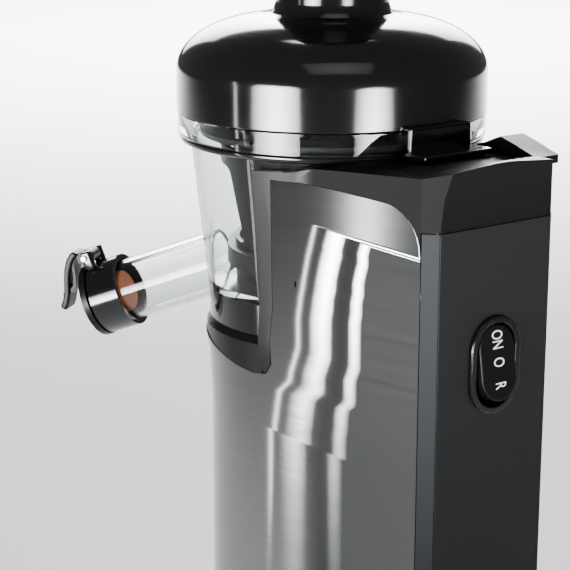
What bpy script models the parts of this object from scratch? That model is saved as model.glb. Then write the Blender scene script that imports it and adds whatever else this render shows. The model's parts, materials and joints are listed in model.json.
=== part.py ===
"""Vertical slow juicer: a body with motor and gears, a lift-off bowl with strainer, brush and auger, and a lid.

Metres, +Z up. Every piece is modelled about the drive axis, under one empty, and the empty is moved at the
end so that the origin lies under the middle of the whole object, on the surface it stands on. The switch
faces +Y and the juice spout leaves towards -Y and +X.
"""

import math

import bmesh
import bpy
from mathutils import Matrix, Vector

MM = 0.001
GAP = 0.3 * MM

# Heights above the table
FOOT_HEIGHT = 4.2 * MM
BASE_PLATE_THICKNESS = 5.5 * MM
SEAT_Z = 169 * MM
LID_EDGE_Z = 262 * MM
BOWL_BASE_HEIGHT = 14 * MM
BOWL_FLOOR_THICKNESS = 3 * MM

# Body
BODY_RADIUS = 54.4 * MM
BODY_BACK_Y = 108.9 * MM
BACK_PANEL_HALF_WIDTH = 30 * MM
SIDE_TAPER = math.radians(10.88)
STEEL_THICKNESS = 0.8 * MM
PANEL_THICKNESS = 2.5 * MM
COVER_THICKNESS = 2.5 * MM
COVER_TOP_DROP = 11 * MM
HOOD_SEAM_DROP = 33 * MM
HOOD_FLARE = 3 * MM
RIDGE_DROP = 7.3 * MM
TRIM_WIDTH = 6.5 * MM
SEAT_THICKNESS = 6 * MM
APRON_STEP = 1.1 * MM

# Bowl
BOWL_WALL = 2.4 * MM
BOWL_RIM_RADIUS = 68.5 * MM
BOWL_RING_RADIUS = 68 * MM
BOWL_TOP_RADIUS = 63 * MM
BOWL_FOOT_RADIUS = 55.8 * MM
BOWL_CLEARANCE = 0.5 * MM
BOWL_RING_TOP_DROP = 9.4 * MM
BOWL_RING_HEIGHT = 3.2 * MM
BAY_WALL = 1.2 * MM
RIM_LIP_HEIGHT = 4 * MM

# Spout
SPOUT_AZIMUTH = math.radians(-52.5)
SPOUT_FALL = math.radians(20.7)
SPOUT_RADIUS = 14.5 * MM
SPOUT_WALL = 2 * MM
SPOUT_LENGTH = 57.7 * MM
SPOUT_ROOT_DROP = 74.5 * MM
COLLAR_LENGTH = 15 * MM
COLLAR_WALL = 2.5 * MM
FLAP_THICKNESS = 3 * MM
PULP_RADIUS = 13 * MM
PULP_LENGTH = 34 * MM

# Working parts
GEAR_MODULE = 1.5 * MM
MOTOR_PINION_TEETH = 10
MOTOR_GEAR_TEETH = 30
AUGER_GEAR_TEETH = 16
IDLER_TEETH = 10
BRUSH_GEAR_TEETH = AUGER_GEAR_TEETH + 2 * IDLER_TEETH
GEAR_FACE = 4.5 * MM
SHAFT_RADIUS = 6 * MM
RUNNING = 0.4 * MM
MOTOR_RADIUS = 33 * MM
MOTOR_HEIGHT = 62 * MM
GEARBOX_HEIGHT = 48 * MM
STRAINER_TOP_RADIUS = 47 * MM
STRAINER_FOOT_RADIUS = 32 * MM
STRAINER_WALL = 1.5 * MM
BRUSH_TOP_RADIUS = 51 * MM
BRUSH_FOOT_RADIUS = 43 * MM
BRUSH_FLANGE_RADIUS = 47 * MM
AUGER_RADIUS = 27 * MM

# Lid and pusher
LID_RADIUS = 69 * MM
LID_WALL = 2.5 * MM
LID_SKIRT_HEIGHT = 18 * MM
LID_DOME_HEIGHT = 24 * MM
CHUTE_RADIUS = 24 * MM
CHUTE_HEIGHT = 62 * MM
PUSHER_HEIGHT = 100 * MM
LID_TAB_RADIUS = 72 * MM

# Switch
SWITCH_DROP = 91.8 * MM
ROCKER_WIDTH = 19 * MM
ROCKER_HEIGHT = 32 * MM
ROCKER_TILT = math.radians(9)
BEZEL_WIDTH = 27 * MM
BEZEL_HEIGHT = 41.5 * MM
BEZEL_DEPTH = 2.2 * MM

BASE_Z = FOOT_HEIGHT + GAP
WALLS_Z = BASE_Z + BASE_PLATE_THICKNESS + GAP
SEAM_Z = LID_EDGE_Z - HOOD_SEAM_DROP
COVER_TOP_Z = LID_EDGE_Z - COVER_TOP_DROP
BOWL_RING_TOP_Z = LID_EDGE_Z - BOWL_RING_TOP_DROP
BOWL_RING_LOW_Z = BOWL_RING_TOP_Z - BOWL_RING_HEIGHT
BOWL_LOW_Z = SEAT_Z + GAP + BOWL_BASE_HEIGHT + GAP
BOWL_FLOOR_Z = BOWL_LOW_Z + BOWL_FLOOR_THICKNESS
SWITCH_Z = LID_EDGE_Z - SWITCH_DROP

ALONG_X = Matrix(((0, 0, 1), (1, 0, 0), (0, 1, 0))).to_4x4()
ALONG_Y = Matrix(((1, 0, 0), (0, 0, -1), (0, 1, 0))).to_4x4()

BLACK_GLOSS = ("black_gloss_plastic", (0.008, 0.008, 0.010), 0.12, 0.0)
BLACK_MATT = ("black_matt_plastic", (0.020, 0.020, 0.022), 0.50, 0.0)
STEEL = ("brushed_steel", (0.45, 0.45, 0.46), 0.30, 1.0)
CLEAR = ("clear_copolyester", (0.85, 0.88, 0.90), 0.05, 0.0)
GREY = ("grey_plastic", (0.16, 0.16, 0.17), 0.45, 0.0)
ORANGE = ("orange_silicone", (0.55, 0.17, 0.05), 0.55, 0.0)
RUBBER = ("black_rubber", (0.02, 0.02, 0.02), 0.80, 0.0)
METAL = ("machined_steel", (0.50, 0.50, 0.52), 0.35, 1.0)
COPPER = ("copper_winding", (0.60, 0.25, 0.10), 0.40, 1.0)
BOARD = ("circuit_board", (0.03, 0.16, 0.06), 0.50, 0.0)


def clear_scene():
    for obj in list(bpy.data.objects):
        bpy.data.objects.remove(obj, do_unlink=True)


clear_scene()
parts = bpy.data.collections.new("slow_juicer")
cutters = bpy.data.collections.new("cutters")
bpy.context.scene.collection.children.link(parts)
bpy.context.scene.collection.children.link(cutters)
root = bpy.data.objects.new("drive_axis", None)
parts.objects.link(root)


def material(finish):
    name, colour, roughness, metallic = finish
    found = bpy.data.materials.get(name)
    if found:
        return found
    made = bpy.data.materials.new(name)
    made.use_nodes = True
    shader = made.node_tree.nodes["Principled BSDF"]
    shader.inputs["Base Color"].default_value = (*colour, 1)
    shader.inputs["Roughness"].default_value = roughness
    shader.inputs["Metallic"].default_value = metallic
    return made


def place(obj, finish=None, parent=None):
    """Puts an object with the parts, under the drive axis, with its material; with no finish it's a helper."""
    for collection in list(obj.users_collection):
        collection.objects.unlink(obj)
    (parts if finish else cutters).objects.link(obj)
    obj.parent = parent or root
    if finish:
        obj.data.materials.clear()
        obj.data.materials.append(material(finish))
    else:
        obj.hide_render = True
        obj.display_type = "WIRE"
    return obj


def smooth(obj, angle=35):
    obj.data.shade_smooth()
    obj.data.set_sharp_from_angle(angle=math.radians(angle))
    return obj


def turned(name, profile, finish=None, steps=40, parent=None, ring=True):
    """A turned shape about Z: the profile runs down its outer side, and a ring's profile closes on itself."""
    count = len(profile)
    edges = [(i, i + 1) for i in range(count - 1)]
    if ring:
        edges.append((count - 1, 0))
    mesh = bpy.data.meshes.new(name)
    mesh.from_pydata([(radius, 0, z) for radius, z in profile], edges, [])
    obj = bpy.data.objects.new(name, mesh)
    screw = obj.modifiers.new("turn", "SCREW")
    screw.steps = steps
    screw.render_steps = steps
    screw.use_merge_vertices = True
    screw.merge_threshold = 0.00001
    screw.use_smooth_shade = True
    return place(obj, finish, parent)


def outline(name, loops, low, high, finish=None, turn=Matrix(), parent=None):
    """A flat outline, with holes where a loop lies in another, from low to high along its own Z, then turned."""
    curve = bpy.data.curves.new(name, "CURVE")
    curve.dimensions = "2D"
    curve.fill_mode = "BOTH"
    curve.extrude = (high - low) / 2
    for loop in loops:
        spline = curve.splines.new("POLY")
        spline.points.add(len(loop) - 1)
        for point, (x, y) in zip(spline.points, loop):
            point.co = (x, y, 0, 1)
        spline.use_cyclic_u = True
    guide = bpy.data.objects.new(name + "_guide", curve)
    bpy.context.scene.collection.objects.link(guide)
    guide.matrix_world = turn @ Matrix.Translation((0, 0, (low + high) / 2))
    bpy.context.view_layer.update()
    graph = bpy.context.evaluated_depsgraph_get()
    mesh = bpy.data.meshes.new_from_object(guide.evaluated_get(graph))
    mesh.name = name
    shape = bmesh.new()
    shape.from_mesh(mesh)
    bmesh.ops.remove_doubles(shape, verts=shape.verts, dist=0.000001)
    bmesh.ops.recalc_face_normals(shape, faces=shape.faces)
    shape.to_mesh(mesh)
    shape.free()
    obj = bpy.data.objects.new(name, mesh)
    obj.matrix_world = guide.matrix_world
    bpy.data.objects.remove(guide, do_unlink=True)
    return place(obj, finish, parent)


def box(name, low, high, finish=None, bevel=0, parent=None):
    """A box between two corners, with its edges rounded where bevel says so."""
    low, high = Vector(low), Vector(high)
    shape = bmesh.new()
    bmesh.ops.create_cube(shape, size=1)
    bmesh.ops.scale(shape, vec=high - low, verts=shape.verts)
    mesh = bpy.data.meshes.new(name)
    shape.to_mesh(mesh)
    shape.free()
    obj = bpy.data.objects.new(name, mesh)
    obj.location = (low + high) / 2
    if bevel:
        rounding = obj.modifiers.new("edges", "BEVEL")
        rounding.width = bevel
        rounding.segments = 2
    return place(obj, finish, parent)


def rod(name, radius, start, end, finish=None, sides=24, parent=None, end_radius=None):
    """A cylinder, or a cone, from one point to another."""
    start, end = Vector(start), Vector(end)
    shape = bmesh.new()
    bmesh.ops.create_cone(
        shape,
        cap_ends=True,
        segments=sides,
        radius1=radius,
        radius2=radius if end_radius is None else end_radius,
        depth=(end - start).length,
    )
    mesh = bpy.data.meshes.new(name)
    shape.to_mesh(mesh)
    shape.free()
    obj = bpy.data.objects.new(name, mesh)
    obj.location = (start + end) / 2
    obj.rotation_euler = (end - start).to_track_quat("Z", "Y").to_euler()
    return smooth(place(obj, finish, parent))


def combine(obj, operation, others):
    for other in others:
        step = obj.modifiers.new(operation.lower() + "_" + other.name, "BOOLEAN")
        step.operation = operation
        step.solver = "EXACT"
        step.object = other
    return obj


def cut(obj, *others):
    return combine(obj, "DIFFERENCE", others)


def join(obj, *others):
    return combine(obj, "UNION", others)


def common(obj, *others):
    return combine(obj, "INTERSECT", others)


def arc(x, y, radius, start, end, steps):
    """Points of an arc, in degrees, both ends included."""
    turn = [math.radians(start + (end - start) * i / steps) for i in range(steps + 1)]
    return [(x + radius * math.cos(a), y + radius * math.sin(a)) for a in turn]


def oval(width, height, steps=28):
    """A long round: two half circles with straight sides, upright."""
    radius = width / 2
    reach = height / 2 - radius
    top = arc(0, reach, radius, 0, 180, steps // 2)
    return top + arc(0, -reach, radius, 180, 360, steps // 2)


def between(table, at):
    """Reads a smooth rising or falling size off a short table of (place, size)."""
    if at <= table[0][0]:
        return table[0][1]
    for (low, first), (high, last) in zip(table, table[1:]):
        if at <= high:
            return first + (last - first) * (at - low) / (high - low)
    return table[-1][1]


def bowl_radius(z):
    """The bowl's outer radius at a height."""
    low, high = BOWL_FOOT_RADIUS, BOWL_TOP_RADIUS
    middle = low + 0.39 * (high - low)
    table = [(BOWL_LOW_Z, low), (LID_EDGE_Z - 52 * MM, middle), (BOWL_RING_LOW_Z, high)]
    return between(table, z)


def body_radius(z):
    """The body's radius round the bowl at a height: it opens towards the top to hold the bowl."""
    wrap = BOWL_CLEARANCE + BAY_WALL + GAP + STEEL_THICKNESS
    table = [(SEAT_Z - 40 * MM, BODY_RADIUS), (SEAT_Z - 16 * MM, BODY_RADIUS + APRON_STEP),
             (SEAT_Z, BOWL_FOOT_RADIUS + wrap)]
    return between(table, z) if z < SEAT_Z else bowl_radius(z) + wrap


def back_reach(z):
    """How far back the body goes at a height: the hood above the seam is flared."""
    flare = [(SEAM_Z + 2 * MM, 0), (SEAM_Z + 13 * MM, 0.25 * HOOD_FLARE), (COVER_TOP_Z + 2 * MM, HOOD_FLARE)]
    return BODY_BACK_Y + between(flare, z)


def body_outline(z, inset=0, front_steps=30, side_steps=14):
    """The body's outline at a height, as points from the left rear round the front to the right rear."""
    radius = BODY_RADIUS - inset
    wide = body_radius(z) - inset
    back = back_reach(z) - inset
    reach = (BACK_PANEL_HALF_WIDTH + BODY_BACK_Y) / math.sqrt(2) - inset
    cosine, sine = math.cos(SIDE_TAPER), math.sin(SIDE_TAPER)
    corner_y = (reach * math.sqrt(2) - radius / cosine) / (1 - sine / cosine)
    side = []
    for i in range(side_steps + 1):
        y = radius * sine + (corner_y - radius * sine) * (i / side_steps) ** 1.3
        flat = (radius - y * sine) / cosine
        round_x = math.sqrt(max(wide * wide - y * y, 0))
        side.append((max(flat, round_x), y))
    start = math.degrees(math.atan2(side[0][1], side[0][0]))
    front = arc(0, 0, math.hypot(*side[0]), -180 - start, start, front_steps)
    left = [(-x, y) for x, y in reversed(side)]
    return left + front[1:-1] + side, (reach * math.sqrt(2) - back, back)


def loft(name, rings, finish=None):
    """A closed skin through rings of points, one above the other, capped at both ends."""
    shape = bmesh.new()
    levels = [[shape.verts.new(point) for point in ring] for ring in rings]
    for lower, upper in zip(levels, levels[1:]):
        count = len(lower)
        for i in range(count):
            j = (i + 1) % count
            shape.faces.new((lower[i], lower[j], upper[j], upper[i]))
    shape.faces.new(list(reversed(levels[0])))
    shape.faces.new(levels[-1])
    bmesh.ops.recalc_face_normals(shape, faces=shape.faces)
    mesh = bpy.data.meshes.new(name)
    shape.to_mesh(mesh)
    shape.free()
    return smooth(place(bpy.data.objects.new(name, mesh), finish), 25)


def body_ring(z, inset=0):
    points, (corner_x, back) = body_outline(z, inset)
    return [(x, y, z) for x, y in points] + [(corner_x, back, z), (-corner_x, back, z)]


def body_block(name, levels, inset=0, finish=None):
    return loft(name, [body_ring(z, inset) for z in levels], finish)


def wrap_ring(z):
    """The steel wrap's section: out along its outer face and back along its inner one, open at the rear."""
    outer = body_outline(z)[0]
    inner = body_outline(z, STEEL_THICKNESS)[0]
    return [(x, y, z) for x, y in outer + inner[::-1]]


def steel_edge(gap=0.0):
    """The steel's top edge seen from the side, as (y, height): the seat's apron, the bay's edge, the hood."""
    side_top = LID_EDGE_Z - 14.4 * MM - TRIM_WIDTH
    rear_top = LID_EDGE_Z - 17 * MM - TRIM_WIDTH
    bend = 19 * MM
    rear_y = BODY_BACK_Y - 6.2 * MM
    apron = [(-70, -5.5), (-37, -7), (-24, -9.3), (-10, -12), (6, -15.6), (15, -16.8), (21, -16.0)]
    front = [(y * MM, SEAT_Z + drop * MM + gap) for y, drop in apron]
    bay = [(24.5 * MM - gap, SEAT_Z - 11 * MM), (25.6 * MM - gap, SEAT_Z), (31.8 * MM - gap, side_top + gap)]
    rear = arc(rear_y - bend, rear_top - bend, bend + gap, 90, 0, 8)
    return front + bay + rear


def bay_edge(z):
    """Where the bay's front edge is at a height: it leans back towards the top."""
    return between([(SEAT_Z - 16 * MM, 19.2 * MM), (COVER_TOP_Z - 10 * MM, 23.6 * MM)], z)


LEVELS = [WALLS_Z, SEAT_Z - 40 * MM, SEAT_Z - 16 * MM, SEAT_Z, BOWL_LOW_Z, LID_EDGE_Z - 52 * MM, SEAM_Z + 2 * MM,
          SEAM_Z + 13 * MM, BOWL_RING_LOW_Z, COVER_TOP_Z + 2 * MM, LID_EDGE_Z + 2 * MM]


def cone_about_bowl(name, extra, low=SEAT_Z + GAP, high=LID_EDGE_Z + 30 * MM):
    """A solid round the bowl, larger than it by the extra."""
    stations = [high, BOWL_RING_LOW_Z, LID_EDGE_Z - 52 * MM, BOWL_LOW_Z, low]
    side = [(bowl_radius(z) + extra, z) for z in stations]
    return turned(name, [(0, high)] + side + [(0, low)], ring=False, steps=56)


def steel_shell():
    above = steel_edge()
    sky = [(above[-1][0] + 20 * MM, above[-1][1]), (above[-1][0] + 20 * MM, 0.4), (above[0][0], 0.4)]
    cutter = outline("above_steel", [above + sky], -0.1, 0.1, turn=ALONG_X)
    return cut(loft("steel_shell", [wrap_ring(z) for z in LEVELS[:9]], STEEL), cutter)


def back_panel():
    y = BODY_BACK_Y
    half = BACK_PANEL_HALF_WIDTH
    sheet = [(-half, y), (-half, y - PANEL_THICKNESS), (half, y - PANEL_THICKNESS), (half, y)]
    panel = outline("back_panel", [sheet], WALLS_Z, SEAM_Z - GAP, BLACK_MATT)
    hole = [(x, z + SWITCH_Z) for x, z in oval(BEZEL_WIDTH - 5.6 * MM, BEZEL_HEIGHT - 5 * MM)]
    window = outline("switch_window", [hole], -y - 10 * MM, 20 * MM - y, turn=ALONG_Y)
    inlet = outline("inlet_window", [arc(0, 30 * MM, 6.4 * MM, 0, 345, 23)], -y - 0.01, 0.02 - y, turn=ALONG_Y)
    return cut(panel, window, inlet)


def corner_strip(name, side):
    """The dark strip on one rear corner, between the steel and the back panel."""
    half, y = BACK_PANEL_HALF_WIDTH + GAP, BODY_BACK_Y
    width = 5.2 * MM
    points = [(half, y), (half, y - PANEL_THICKNESS), (half + width / 2, y - width), (half + width, y - width)]
    points = [(side * x, at) for x, at in points]
    return outline(name, [points], WALLS_Z, SEAM_Z - GAP, BLACK_GLOSS)


def hood_region():
    """What the cover may fill, seen from the side: above the steel and behind the bay's edge, up to the ridge."""
    lower = steel_edge(GAP)[7:]
    rear = BODY_BACK_Y + 6 * MM
    low_rear = [(lower[-1][0], SEAM_Z), (rear, SEAM_Z), (rear, LID_EDGE_Z - RIDGE_DROP)]
    top = [(BODY_BACK_Y + 0.5 * MM, LID_EDGE_Z - RIDGE_DROP), (BODY_BACK_Y - 13 * MM, COVER_TOP_Z)]
    low, high = SEAT_Z - 16 * MM, COVER_TOP_Z - 10 * MM
    front = [(bay_edge(high), COVER_TOP_Z), (bay_edge(high), high), (bay_edge(low), low)]
    return lower + low_rear + top + front + [(bay_edge(low) + 2.3 * MM, low + 0.6 * MM)]


def roof_region():
    """What the cover may fill, seen from behind: its top falls away to both sides."""
    half = [(0, -7.0), (26, -9), (34, -11), (44, -14), (52, -17), (80, -18)]
    right = [(x * MM, LID_EDGE_Z + drop * MM) for x, drop in half]
    left = [(-x, z) for x, z in reversed(right[1:])]
    return left + right + [(0.08, 0.1), (-0.08, 0.1)]


def top_cover():
    """The black hood: side trim, top, flared back, and the wall of the bay that the bowl stands in."""
    cover = body_block("top_cover", [SEAT_Z - 20 * MM] + LEVELS[3:], finish=BLACK_GLOSS)
    common(cover, outline("hood_side_view", [hood_region()], -0.1, 0.1, turn=ALONG_X))
    common(cover, outline("hood_rear_view", [roof_region()], -0.2, 0.1, turn=ALONG_Y))
    hollow_levels = [SEAT_Z - 25 * MM] + LEVELS[3:7] + [LID_EDGE_Z - 20.5 * MM]
    cut(cover, body_block("hood_hollow", hollow_levels, COVER_THICKNESS))
    wall = cone_about_bowl("bay_wall", BOWL_CLEARANCE + BAY_WALL, high=COVER_TOP_Z - 2 * MM)
    bay_side = [(27 * MM, SEAT_Z), (33 * MM, COVER_TOP_Z), (0.09, COVER_TOP_Z), (0.09, SEAT_Z)]
    common(wall, outline("bay_side_view", [bay_side], -0.1, 0.1, turn=ALONG_X))
    join(cover, wall)
    cut(cover, cone_about_bowl("bay_room", BOWL_CLEARANCE, low=SEAT_Z - 30 * MM))
    stop_side = [(61.6, 13), (61.6, 10.4), (73.5, 7.3), (80, 4.6), (83, 3.5), (92, 5.9), (104, 9.5), (104, 13)]
    stop_side = [(y * MM, LID_EDGE_Z - drop * MM) for y, drop in stop_side]
    lid_stop = outline("lid_stop", [stop_side], -38 * MM, -25 * MM, turn=ALONG_X)
    join(cover, lid_stop)
    return cut(cover, rod("ring_room", BOWL_RING_RADIUS + 0.8 * MM, (0, 0, BOWL_RING_LOW_Z - 1.5 * MM),
                          (0, 0, 0.3), sides=56))


def bowl_platform():
    """The seat that the bowl stands on, with the apron round its front."""
    inner = BODY_RADIUS - STEEL_THICKNESS - 2 * GAP
    low = SEAT_Z - SEAT_THICKNESS
    bore = SHAFT_RADIUS + 3 * MM
    seat = turned("bowl_platform", [(bore, SEAT_Z), (inner, SEAT_Z), (inner, low), (bore, low)], BLACK_GLOSS, 48)
    top = BODY_RADIUS + 2 * APRON_STEP
    foot = BODY_RADIUS + APRON_STEP
    inside = inner - 1 * MM
    skirt = [(inside, SEAT_Z), (top - 2 * MM, SEAT_Z), (top, SEAT_Z - 3 * MM), (foot, SEAT_Z - 20 * MM),
             (inside, SEAT_Z - 20 * MM)]
    apron = turned("apron", skirt, steps=56)
    edge = steel_edge(GAP)[:6]
    low, high = SEAT_Z - 16 * MM, SEAT_Z + 2 * MM
    region = edge + [(bay_edge(low) - GAP, low), (bay_edge(high) - GAP, high), (edge[0][0], high)]
    common(apron, outline("apron_side_view", [region], -0.1, 0.1, turn=ALONG_X))
    return join(seat, apron)


def base_plate():
    plate = body_block("base_plate", [BASE_Z, BASE_Z + BASE_PLATE_THICKNESS], finish=BLACK_MATT)
    for i in range(6):
        y = (-20 + 11 * i) * MM
        cut(plate, box("vent_%d" % i, (-20 * MM, y, 0), (20 * MM, y + 4 * MM, BASE_Z + 0.02)))
    return plate


def feet():
    corners = [("front_left", -30, -24), ("front_right", 30, -24), ("rear_left", -26, 88), ("rear_right", 26, 88)]
    for name, x, y in corners:
        rod("foot_" + name, 8 * MM, (x * MM, y * MM, 0), (x * MM, y * MM, FOOT_HEIGHT), RUBBER, 20)


def cord_inlet():
    """The bush in the back panel that a lead would leave by."""
    y = BODY_BACK_Y
    profile = [(3.5, 1.8), (8.5, 1.8), (8.5, 0.3), (6, 0.3), (6, -8), (3.5, -8)]
    bush = turned("cord_inlet", [(r * MM, z * MM) for r, z in profile], BLACK_MATT, 24)
    bush.rotation_euler = (-math.pi / 2, 0, 0)
    bush.location = (0, y, 30 * MM)
    return bush


steel_shell()
back_panel()
corner_strip("corner_strip_right", 1)
corner_strip("corner_strip_left", -1)
top_cover()
bowl_platform()
base_plate()
feet()
cord_inlet()


def frame_at(name, location, turn, parent=None):
    """An empty that holds the pieces of one tilted or moving group."""
    empty = bpy.data.objects.new(name, None)
    empty.location = location
    empty.rotation_euler = turn
    empty.parent = parent or root
    parts.objects.link(empty)
    bpy.context.view_layer.update()
    return empty


def spout_place(azimuth):
    """Where a spout's axis meets the bowl's wall."""
    radius = BOWL_FOOT_RADIUS
    return (radius * math.cos(azimuth), radius * math.sin(azimuth), LID_EDGE_Z - SPOUT_ROOT_DROP)


PULP_AZIMUTH = math.pi - SPOUT_AZIMUTH
juice_axis = frame_at("juice_spout_axis", spout_place(SPOUT_AZIMUTH), (0, SPOUT_FALL, SPOUT_AZIMUTH))
pulp_axis = frame_at("pulp_spout_axis", spout_place(PULP_AZIMUTH), (0, SPOUT_FALL, PULP_AZIMUTH))


def along(name, parent, radius, start, end, finish=None, sides=32):
    """A cylinder along a spout's axis, measured from where the axis meets the bowl."""
    return rod(name, radius, (start, 0, 0), (end, 0, 0), finish, sides, parent)


def juice_bowl():
    """The clear bowl: tapered wall, rim band, floor with a hub, juice spout and pulp spout."""
    rim, ring_room = BOWL_RIM_RADIUS, BOWL_RING_RADIUS - 3.6 * MM
    lip = rim - 3 * MM
    top, hub = LID_EDGE_Z - GAP, SHAFT_RADIUS + 4 * MM
    outside = [(lip, LID_EDGE_Z + RIM_LIP_HEIGHT), (lip, top), (rim, top), (rim, BOWL_RING_TOP_Z)]
    outside += [(ring_room, BOWL_RING_TOP_Z), (ring_room, BOWL_RING_LOW_Z)]
    stations = [BOWL_RING_LOW_Z - 1 * MM, LID_EDGE_Z - 52 * MM, BOWL_LOW_Z]
    outside += [(bowl_radius(z), z) for z in stations]
    body = turned("juice_bowl", [(0, outside[0][1])] + outside + [(0, BOWL_LOW_Z)], CLEAR, 56, ring=False)
    spout_root = -13 * MM
    join(body, along("juice_tube", juice_axis, SPOUT_RADIUS, spout_root, SPOUT_LENGTH))
    join(body, along("pulp_tube", pulp_axis, PULP_RADIUS, spout_root, PULP_LENGTH))
    shoulder = BOWL_RING_LOW_Z
    inside = [(0, outside[0][1] + 5 * MM), (lip - BOWL_WALL, outside[0][1] + 5 * MM), (lip - BOWL_WALL, shoulder + 3 * MM)]
    inside += [(bowl_radius(z) - BOWL_WALL, z) for z in (shoulder - 3 * MM, LID_EDGE_Z - 52 * MM, BOWL_FLOOR_Z)]
    cut(body, turned("bowl_inside", inside + [(0, BOWL_FLOOR_Z)], steps=56, ring=False))
    bore_start = spout_root + 3 * MM
    cut(body, along("juice_bore", juice_axis, SPOUT_RADIUS - SPOUT_WALL, bore_start, SPOUT_LENGTH + 0.02))
    cut(body, along("pulp_bore", pulp_axis, PULP_RADIUS - SPOUT_WALL, bore_start, PULP_LENGTH + 0.02))
    for i in range(4):
        angle = math.radians(20 + 90 * i)
        low = BOWL_RING_TOP_Z + 3.2 * MM
        lug = box("lug_%d" % i, (rim - 1.5 * MM, -4 * MM, low), (rim + 0.9 * MM, 4 * MM, low + 2 * MM))
        lug.parent = frame_at("lug_turn_%d" % i, (0, 0, 0), (0, 0, angle))
        join(body, lug)
    return cut(body, rod("bowl_hub", hub, (0, 0, BOWL_LOW_Z - 0.01), (0, 0, BOWL_FLOOR_Z + 0.01)))


def bowl_ring():
    """The black band under the bowl's rim."""
    inner = BOWL_RING_RADIUS - 3.6 * MM + GAP
    top, low = BOWL_RING_TOP_Z - GAP, BOWL_RING_LOW_Z
    outer = BOWL_RING_RADIUS
    return turned("bowl_ring", [(inner, top), (outer, top), (outer - 1 * MM, low), (inner, low)], BLACK_GLOSS, 56)


def bowl_base():
    """The black foot ring under the clear bowl, notched for both spouts."""
    outer, inner = BOWL_FOOT_RADIUS - 0.4 * MM, 38 * MM
    low, high = SEAT_Z + GAP, SEAT_Z + GAP + BOWL_BASE_HEIGHT
    ring = turned("bowl_base", [(inner, high), (outer, high), (outer - 0.5 * MM, low), (inner, low)], BLACK_GLOSS, 56)
    cut(ring, along("juice_notch", juice_axis, SPOUT_RADIUS + GAP, -13 * MM - GAP, 0.03))
    return cut(ring, along("pulp_notch", pulp_axis, PULP_RADIUS + GAP, -13 * MM - GAP, 0.03))


def shaft_seal():
    """The lip seal in the bowl's hub."""
    outer, inner = SHAFT_RADIUS + 4 * MM - GAP, SHAFT_RADIUS + RUNNING
    low, high = BOWL_LOW_Z - 1 * MM, BOWL_FLOOR_Z + 0.2 * MM
    return turned("bowl_shaft_seal", [(inner, high), (outer, high), (outer, low), (inner, low)], ORANGE, 28)


def pulp_plug():
    """The silicone plug clipped under the bowl's floor."""
    low = SEAT_Z + 4 * MM
    centre = (0, 24 * MM)
    return rod("pulp_plug", 8 * MM, (*centre, low), (*centre, BOWL_LOW_Z - GAP), ORANGE, 20)


def gear_outline(teeth, phase=0.0, inward=False, slack=0.16):
    """A spur gear's outline with straight-sided teeth; an inward one is the hole of a ring gear."""
    pitch = teeth * GEAR_MODULE / 2
    out, back = 0.85 * GEAR_MODULE, 1.1 * GEAR_MODULE
    tip, foot = (pitch - out, pitch + back) if inward else (pitch + out, pitch - back)
    step = 2 * math.pi / teeth
    points = []
    for i in range(teeth):
        centre = phase + i * step
        wide = step * (0.36 - slack / 2)
        narrow = step * (0.15 - slack / 4)
        corners = [(foot, -wide), (tip, -narrow), (tip, narrow), (foot, wide)]
        points += [(r * math.cos(centre + a), r * math.sin(centre + a)) for r, a in corners]
    return points


GEAR_LOW_Z = BOWL_FLOOR_Z + 0.7 * MM
IDLER_DISTANCE = GEAR_MODULE * (AUGER_GEAR_TEETH + IDLER_TEETH) / 2


def circle(radius, steps=28, x=0.0, y=0.0):
    return arc(x, y, radius, 0, 360 - 360 / steps, steps - 1)


def hexagon(across, phase=0.0):
    return [(across / math.sqrt(3) * math.cos(phase + math.pi * i / 3),
             across / math.sqrt(3) * math.sin(phase + math.pi * i / 3)) for i in range(6)]


def idler_gear():
    """The small gear on the bowl's floor that turns the brush against the auger."""
    phase = math.pi + math.pi / IDLER_TEETH
    loops = [gear_outline(IDLER_TEETH, phase), circle(2.5 * MM + 0.2 * MM, 16)]
    gear = outline("idler_gear", loops, GEAR_LOW_Z, GEAR_LOW_Z + GEAR_FACE, GREY)
    gear.location.x = IDLER_DISTANCE
    low = BOWL_FLOOR_Z + GAP
    pin = rod("idler_pin", 2.5 * MM, (IDLER_DISTANCE, 0, low), (IDLER_DISTANCE, 0, low + GEAR_FACE), METAL, 16)
    return gear, pin


def brush_frame():
    """The cone of black arms round the strainer, on a stepped base with the ring gear inside it."""
    high = LID_EDGE_Z - 15 * MM
    flange_low, flange_high = LID_EDGE_Z - 68 * MM, LID_EDGE_Z - 60 * MM
    low = GEAR_LOW_Z + 0.2 * MM
    wall = 2.2 * MM
    inner = STRAINER_FOOT_RADIUS + 4.5 * MM
    floor_high = low + GEAR_FACE + 0.6 * MM
    tip = BRUSH_GEAR_TEETH * GEAR_MODULE / 2 + 6 * MM
    profile = [(BRUSH_TOP_RADIUS - wall, high), (BRUSH_TOP_RADIUS, high), (BRUSH_FOOT_RADIUS, flange_high)]
    profile += [(BRUSH_FLANGE_RADIUS, flange_high), (BRUSH_FLANGE_RADIUS, flange_low), (BRUSH_FOOT_RADIUS, flange_low)]
    profile += [(BRUSH_FOOT_RADIUS, low), (tip - 1 * MM, low), (tip - 1 * MM, floor_high), (inner, floor_high)]
    profile += [(BRUSH_FOOT_RADIUS - wall, flange_high)]
    frame = turned("brush_frame", profile, BLACK_MATT, 48)
    ring = outline("brush_ring_gear", [circle(tip, 40), gear_outline(BRUSH_GEAR_TEETH, 0, inward=True)],
                   low, low + GEAR_FACE - 0.4 * MM)
    join(frame, ring)
    for i in range(4):
        window = box("brush_window_%d" % i, (20 * MM, -22 * MM, flange_high + 3 * MM),
                     (70 * MM, 22 * MM, high - 8 * MM), bevel=3 * MM)
        window.parent = frame_at("brush_window_turn_%d" % i, (0, 0, 0), (0, 0, math.radians(52 + 90 * i)))
        cut(frame, window)
    return frame


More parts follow.
